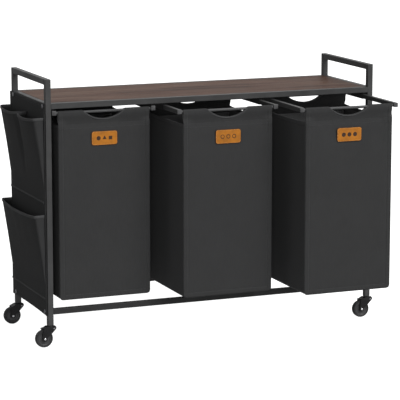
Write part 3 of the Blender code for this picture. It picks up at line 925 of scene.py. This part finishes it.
def pocket_row(low, high, z, seed, crease, divided):
    """One level of a pocket: front gusset, bowed face and back gusset, from the panel to the panel."""
    mouth = high.x - low.x
    share = max(0.0, 1 - (high.z - z) / POCKET_FOLD)
    depth = FLAT_DEPTH + (mouth - FLAT_DEPTH) * share
    start, end = low.y - 0.004, high.y - 0.001
    tuck = POCKET_TUCK * share**1.2
    radius = min(0.006, depth * 0.4)
    wall = high.x - depth + POCKET_WALL / 2
    panel = high.x - POCKET_EDGE
    bend = wall + radius
    path = [(panel + (bend - panel) * t, start + tuck * (1 - t)) for t in spaced(0, 1, 6)[:-1]]
    path += arc_points((bend, start + radius), radius, 270, 180, 5)
    path += [(wall, start + radius + (end - start - 2 * radius) * t) for t in FACE_STEPS]
    path += arc_points((bend, end - radius), radius, 180, 90, 5)
    path += [(bend + (panel - bend) * t, end - tuck * 0.4 * t) for t in spaced(0, 1, 6)[1:]]
    lobes = 2 if divided else 1
    row = []
    for x, y in path:
        along = (y - start) / (end - start)
        swell = abs(sin(lobes * pi * min(1, max(0, along)))) ** 0.75
        face = smooth_step(high.x - x, depth * 0.4, depth * 0.9)
        bow = POCKET_BOW * share**1.4 * swell * face
        uneven = 0.0016 * ripple((0, y, z * 0.6), 0.06, seed) * swell * face * min(1, share * 3)
        sag = POCKET_SAG * share**4 * swell * face
        from_fold = along - 0.6 - 0.1 * share
        fold = crease * share**0.5 * face * exp(-((from_fold / 0.035) ** 2))
        x += fold - bow - uneven
        if divided:
            pull = share * exp(-(((along - 0.5) / DIVISION_WIDTH) ** 2))
            x += (panel - x) * pull
        row.append(Vector((x, y, z - sag)))
    return row


def pocket(name, seed, crease, divided):
    """A pocket that opens to the top, with a division in the middle if it is divided."""
    node = f"{name}_pocket"
    low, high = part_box(node)
    seam_z, fold_z = high.z - POCKET_LENGTH, high.z - POCKET_FOLD
    levels = spaced(seam_z, fold_z, 6)[:-1] + spaced(fold_z, high.z, 28)
    rows = [pocket_row(low, high, z, seed, crease, divided) for z in levels]
    piece = f"{node}_cloth"
    obj = add_object(piece, loft(piece, rows), side_cloth, "side_fabric", "frame")
    thicken(obj, POCKET_WALL, even=False)
    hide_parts(node)
    rim = rows[-1]
    path = [p - UP * 0.0028 for p in rim]
    thicks = square_to(path, UP)
    section = rounded_section(0.0078, 0.0034, 0.0014)
    finish = (tape, "side_fabric", "frame")
    add_swept(f"{node}_binding", path, [UP] * len(path), thicks, section, *finish)
    outside = [p - UP * 0.0052 - t * 0.0018 for p, t in zip(rim, thicks)]
    lines = [(outside[3:-3], -RIGHT)]
    foot = [p + Vector((-0.0006, 0, 0.0024)) for p in rows[0][8:-8]]
    section = rounded_section(0.0054, 0.0024, 0.001)
    add_swept(f"{node}_foot_fold", foot, [UP] * len(foot), [RIGHT] * len(foot), section, *finish)
    lines.append(([p - RIGHT * 0.0012 for p in foot], -RIGHT))
    stitching(f"{node}_stitching", lines, thread, "side_fabric", "frame")


def make_snaps():
    """Snap fasteners: a rolled ring round a shallow dome."""
    profile = [(0, 0.0), (0.0056, 0.0), (0.006, 0.0006), (0.0056, 0.0014), (0.0047, 0.0016)]
    profile += [(0.0042, 0.0012), (0.0038, 0.0016), (0.0026, 0.0024), (0.0012, 0.0028), (0, 0.0029)]
    finish = (gunmetal, "snap_metal", "frame")
    for place in ("top_front", "top_back", "bottom_front", "bottom_back"):
        node = f"{place}_snap"
        centre, half = centre_and_half(node)
        centre.x += half.x
        obj = add_turned(f"{node}_cap", profile, centre, -RIGHT, 32, *finish)
        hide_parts(node)


# ---- Frame details ----
RAIL_HALF = 0.008


def make_screws():
    """Button-head screws through the right posts into the ends of the top rails."""
    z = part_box("front_top_rail")[1].z - RAIL_HALF
    profile = [(0, 0), (0.0045, 0), (0.0047, 0.0006), (0.0042, 0.0017), (0.003, 0.0025)]
    profile += [(0.0021, 0.0027), (0.0019, 0.0014), (0, 0.0013)]
    finish = (gunmetal, "frame_steel", "frame")
    for corner in ("right_front", "right_back"):
        post, half = centre_and_half(f"{corner}_post")
        centre = (post.x + half.x - 0.0002, post.y, z)
        add_turned(f"{corner}_screw", profile, centre, RIGHT, 24, *finish)


# ---- Casters ----
WHEEL_BORE = 0.0033
FORK_TOP = -0.0026
FORK_HALF_WIDTH = 0.013
CHEEK_INSIDE = 0.0094
CROWN_CENTRE = (0.007, -0.0056)
CROWN_RADIUS = 0.0069
CROWN_RIVET = (0.0078, -0.0078)
AXLE_PLACE = (-0.019, -0.0365)
WHEEL_ROOM = 0.0268
RIB_WIDTH = 0.0015
RIBS = (
    ((-0.003, -0.01), (-0.0168, -0.03)),
    ((0.0035, -0.0135), (-0.012, -0.033)),
    ((-0.01, -0.007), (-0.0215, -0.0245)),
)
PEDAL_PIVOT = (-0.01, -0.0065)


def axle_direction(corner):
    """Along X for a caster that trails to the back, along Y for one that trails to the side."""
    half = centre_and_half(f"{corner}_caster_wheel")[1]
    return RIGHT if half.x < half.y else BACK


def make_wheel(corner):
    """A rubber tyre on a moulded hub with a stepped face."""
    node = f"{corner}_caster_wheel"
    centre, size = centre_and_half(node)
    radius, half = size.z, min(size.x, size.y)
    axis = axle_direction(corner)
    body = f"{corner}_wheel_body"
    core = radius * 0.76
    side = [(core, 0.55), (core + 0.0006, 0.8), (core + 0.002, 0.94), (radius * 0.9, 0.97)]
    side += [(radius * 0.955, 0.86), (radius * 0.985, 0.66), (radius * 0.997, 0.4), (radius, 0.15)]
    profile = mirrored_profile(side, half)
    finish = (rubber, "wheel_rubber", body)
    tyre = add_turned(f"{node}_tyre", profile + profile[:1], centre, axis, 64, *finish)
    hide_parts(node)
    side = [(WHEEL_BORE, 1.0), (0.0058, 1.0), (0.0072, 0.92), (0.008, 0.62), (0.015, 0.56)]
    side += [(0.0163, 0.72), (core - 0.0008, 0.8), (core + 0.0003, 0.72), (core + 0.0003, 0.5)]
    profile = mirrored_profile(side, half)
    finish = (hub_plastic, "caster_plastic", body)
    hub = add_turned(f"{node}_hub", profile + profile[:1], centre, axis, 64, *finish)
    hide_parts(node)


def make_axle(corner):
    """The riveted axle with a bright domed head on each side."""
    node = f"{corner}_caster_axle"
    centre, size = centre_and_half(node)
    half, radius = max(size.x, size.y), size.z
    side = [(0, 1.0), (0.0012, 0.995), (0.0024, 0.975), (0.003, 0.94), (0.003, 0.905), (radius, 0.9)]
    finish = (bright, "axle_steel", f"{corner}_caster_swivel_body")
    profile = mirrored_profile(side, half)
    obj = add_turned(f"{node}_rivet", profile, centre, axle_direction(corner), 32, *finish)
    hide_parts(node)


def caster_axes(corner):
    """The foot of the caster's post, the way its crown points and the way its axle runs."""
    post, half = centre_and_half(f"{corner}_post")
    foot = post - UP * half.z
    trail = centre_and_half(f"{corner}_caster_wheel")[0] - foot
    trail.z = 0
    ahead = -trail.normalized()
    return foot, ahead, UP.cross(ahead)


def caster_spot(axes, place, across):
    """A place on the caster's side outline, that far along the axle."""
    foot, ahead, side = axes
    return foot + ahead * place[0] + side * across + UP * place[1]


def add_plate(shape, outline, near, far, axes):
    """A closed plate with that side outline, from near to far along the axle."""
    first = [shape.verts.new(caster_spot(axes, place, near)) for place in outline]
    second = [shape.verts.new(caster_spot(axes, place, far)) for place in outline]
    band(shape, first, second)
    shape.faces.new(first)
    shape.faces.new(second[::-1])


def rib_outline(start, end, width):
    """A straight rib between two places on the cheek."""
    along = Vector((end[0] - start[0], end[1] - start[1])).normalized()
    off = Vector((-along.y, along.x)) * width / 2
    corners = [(start, off), (end, off), (end, -off), (start, -off)]
    return [(at[0] + o.x, at[1] + o.y) for at, o in corners]


def moulded_piece(name, plates, axes, body):
    """Plates, each an outline with its near and far side, as one moulding with soft edges."""
    shape = bmesh.new()
    for outline, near, far in plates:
        add_plate(shape, outline, near, far, axes)
    mesh = finish_shape(shape, bpy.data.meshes.new(name), 35)
    obj = add_object(name, mesh, dark_plastic, "caster_plastic", body)
    modifier = obj.modifiers.new("soft edges", "BEVEL")
    modifier.width = 0.0005
    modifier.segments = 2
    modifier.limit_method = "ANGLE"
    modifier.angle_limit = radians(40)
    modifier.harden_normals = True
    return obj


def make_fork(corner, has_pedal):
    """Two ribbed cheeks joined by a bridge over the wheel, with a rivet at the crown's end."""
    axes = caster_axes(corner)
    body = f"{corner}_caster_swivel_body"
    crown = [(0.0062, FORK_TOP)] + arc_points(CROWN_CENTRE, CROWN_RADIUS, 86, -45, 9)
    shoulder = [(-0.0236, -0.0145), (-0.0226, -0.0092), (-0.01, FORK_TOP)]
    cheek = crown + [(0.0005, -0.0224)] + arc_points(AXLE_PLACE, 0.0072, 30, -180, 10)
    cheek += [(-0.0258, -0.0265)] + shoulder
    bridge = [(0.0098, FORK_TOP), (0.0122, -0.006), (0.0112, -0.0105), (0.0034, -0.0195)]
    if has_pedal:
        bridge += arc_points(AXLE_PLACE, WHEEL_ROOM, 42, 62, 4) + [(-0.007, FORK_TOP)]
    else:
        bridge += arc_points(AXLE_PLACE, WHEEL_ROOM, 42, 94, 10) + shoulder[1:]
    plates = [(bridge, -CHEEK_INSIDE - 0.0004, CHEEK_INSIDE + 0.0004)]
    for side in (-1, 1):
        plates.append((cheek, side * CHEEK_INSIDE, side * FORK_HALF_WIDTH))
        near, far = side * (FORK_HALF_WIDTH - 0.0006), side * (FORK_HALF_WIDTH + 0.0007)
        plates += [(rib_outline(start, end, RIB_WIDTH), near, far) for start, end in RIBS]
    fork = moulded_piece(f"{corner}_caster_housing", plates, axes, body)
    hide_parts(f"{corner}_caster_fork")
    foot, _, axle_way = axes
    profile = [(0, -0.005), (0.0108, -0.005), (0.0108, -0.0016), (0.01, -0.0006), (0, -0.0006)]
    finish = (dark_plastic, "caster_plastic", body)
    neck = add_turned(f"{corner}_caster_neck", profile, foot, UP, 40, *finish)
    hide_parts(f"{corner}_caster_fork")
    profile = [(0, 0), (0.0022, 0), (0.0021, 0.0006), (0.0013, 0.001), (0, 0.0011)]
    for side in (-1, 1):
        centre = caster_spot(axes, CROWN_RIVET, side * (FORK_HALF_WIDTH - 0.0002))
        name = f"{corner}_caster_{'near' if side < 0 else 'far'}_rivet"
        add_turned(name, profile, centre, axle_way * side, 20, gunmetal, "caster_plastic", body)


def make_pedal(corner):
    """The brake lever's blade with three grip ridges."""
    half = centre_and_half(f"{corner}_caster_brake_pedal")[1].y
    pivot_x, pivot_z = PEDAL_PIVOT
    blade = ((-0.013, -0.0023), (-0.0168, -0.0028), (-0.0179, -0.0016))
    blade += ((-0.017, -0.0001), (-0.01, 0.0012))
    outline = arc_points(PEDAL_PIVOT, 0.0021, 90, -60, 6)
    outline += [(pivot_x + x, pivot_z + z) for x, z in blade]
    plates = [(outline, -half, half)]
    for x in (-0.0118, -0.0138, -0.0158):
        ridge_top = 0.0013 + 0.18 * (x + 0.0118)
        foot, crest = (pivot_x + x, pivot_z - 0.001), (pivot_x + x, pivot_z + ridge_top)
        ridge = rib_outline(foot, crest, 0.0008)
        plates.append((ridge, -half + 0.001, half - 0.001))
    piece, body = f"{corner}_caster_pedal_blade", f"{corner}_pedal_body"
    blade_piece = moulded_piece(piece, plates, caster_axes(corner), body)
    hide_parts(f"{corner}_caster_brake_pedal")


def make_casters():
    for corner in CORNERS:
        has_pedal = corner.endswith("front")
        make_wheel(corner)
        make_axle(corner)
        make_fork(corner, has_pedal)
        if has_pedal:
            make_pedal(corner)


# ---- Studio ----
FLOOR_HALF = 150


def grey(share):
    return (share, share, share)


def add_sun(name, energy, angle, direction):
    light = bpy.data.lights.new(name, "SUN")
    light.energy = energy
    light.angle = radians(angle)
    lamp = bpy.data.objects.new(name, light)
    lamp.rotation_mode = "QUATERNION"
    lamp.rotation_quaternion = Vector(direction).to_track_quat("-Z", "Y")
    scene.collection.objects.link(lamp)


def make_studio():
    corners = [(x * FLOOR_HALF, y * FLOOR_HALF, 0) for x, y in ((-1, -1), (1, -1), (1, 1), (-1, 1))]
    floor_mesh = mesh_from("studio_floor", corners, [(0, 1, 2, 3)])
    floor = bpy.data.objects.new("studio_floor", floor_mesh)
    scene.collection.objects.link(floor)
    white, tree, shader = new_material("pale_floor", grey(0.3), 0.9, specular=0.0)
    set_inputs(tree, shader, {"Emission Color": (1, 1, 1, 1), "Emission Strength": 0.95})
    floor_mesh.materials.append(white)
    floor.visible_diffuse = False
    floor.visible_glossy = False
    world = bpy.data.worlds.new("studio")
    world.use_nodes = True
    scene.world = world
    tree = world.node_tree
    direction = add_node(tree, "ShaderNodeTexCoord").outputs["Generated"]
    axes = add_node(tree, "ShaderNodeSeparateXYZ", {0: direction})
    height = maths(tree, "ADD", maths(tree, "MULTIPLY", axes.outputs["Z"], 0.5), 0.5)
    sky = ramp(tree, height, ((0.0, grey(0.6)), (0.42, grey(0.8)), (0.54, grey(1)), (1.0, grey(1))))
    across = maths(tree, "ADD", axes.outputs["X"], 0.5)
    side = ramp(tree, across, ((0.0, grey(0.42)), (0.8, grey(1))))
    shaded = add_node(tree, "ShaderNodeVectorMath", {0: sky, 1: side}, operation="MULTIPLY")
    set_inputs(tree, tree.nodes["Background"], {"Color": shaded.outputs[0], "Strength": 1.15})
    add_sun("soft_key", 3.55, 38, (-0.35, 0.66, -0.66))
    add_sun("front_fill", 1.0, 16, (0.38, 0.92, -0.12))
    scene.view_settings.view_transform = "Standard"


def make_camera():
    data = bpy.data.cameras.new("camera")
    data.lens = CAMERA_LENS
    data.sensor_width = 36.0
    data.clip_start, data.clip_end = 0.1, 400.0
    camera = bpy.data.objects.new("camera", data)
    low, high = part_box("left_front_post")[0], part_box("right_back_post")[1]
    footing = Vector(((low.x + high.x) / 2, (low.y + high.y) / 2, low.z))
    camera.location = footing + Vector(CAMERA_FROM_FRAME)
    camera.rotation_euler = (radians(90 - CAMERA_DIP), 0, radians(-CAMERA_TURN))
    scene.collection.objects.link(camera)
    scene.camera = camera


make_camera()
make_studio()
finish_cad_nodes()
make_bags()
make_rods()
make_end_plugs()
make_tags()
side_panel()
pocket("upper", 2.3, 0.0, divided=True)
pocket("lower", 6.1, 0.0006, divided=False)
make_snaps()
make_screws()
make_casters()
